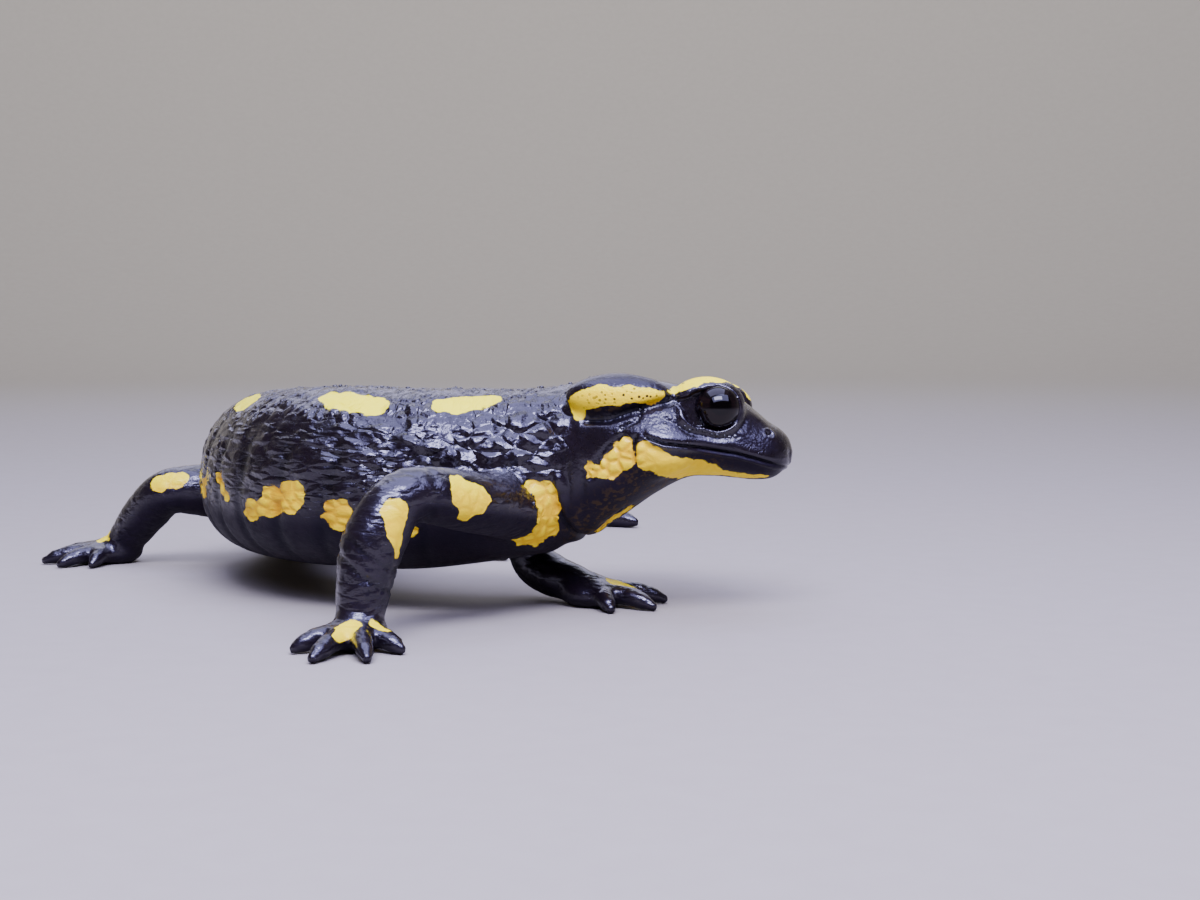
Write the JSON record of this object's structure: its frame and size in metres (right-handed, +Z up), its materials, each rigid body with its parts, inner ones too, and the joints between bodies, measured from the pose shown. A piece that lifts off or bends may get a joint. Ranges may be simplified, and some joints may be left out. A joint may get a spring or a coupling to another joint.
{
  "type": "fire salamander",
  "caption": "Life-size still model of a black and yellow fire salamander, standing with its body bent and its tail curled round behind.",
  "frame": {"origin": "on the floor, under the middle of the whole animal's bounding box", "axes": "+Z up; +X the way the chest and head look, with the snout turned 10 degrees to the animal's right; +Y to the animal's left, where its tail is curled round"},
  "size_m": [0.093, 0.1058, 0.0264],
  "materials": {
    "skin": "wet, glossy black skin with yellow patches",
    "eye": "mirror-smooth and near black"
  },
  "bodies": {
    "root": {"head": "skin", "lower_jaw": "skin", "neck": "skin", "trunk_front": "skin", "trunk_middle": "skin", "trunk_rear": "skin", "pelvis": "skin", "tail_base": "skin", "tail_middle": "skin", "tail_tip": "skin", "upper_arm_right": "skin", "forearm_right": "skin", "hand_right": "skin", "upper_arm_left": "skin", "forearm_left": "skin", "hand_left": "skin", "thigh_right": "skin", "shank_right": "skin", "foot_right": "skin", "thigh_left": "skin", "shank_left": "skin", "foot_left": "skin", "eye_right": "eye", "eye_left": "eye"}
  },
  "joints": []
}
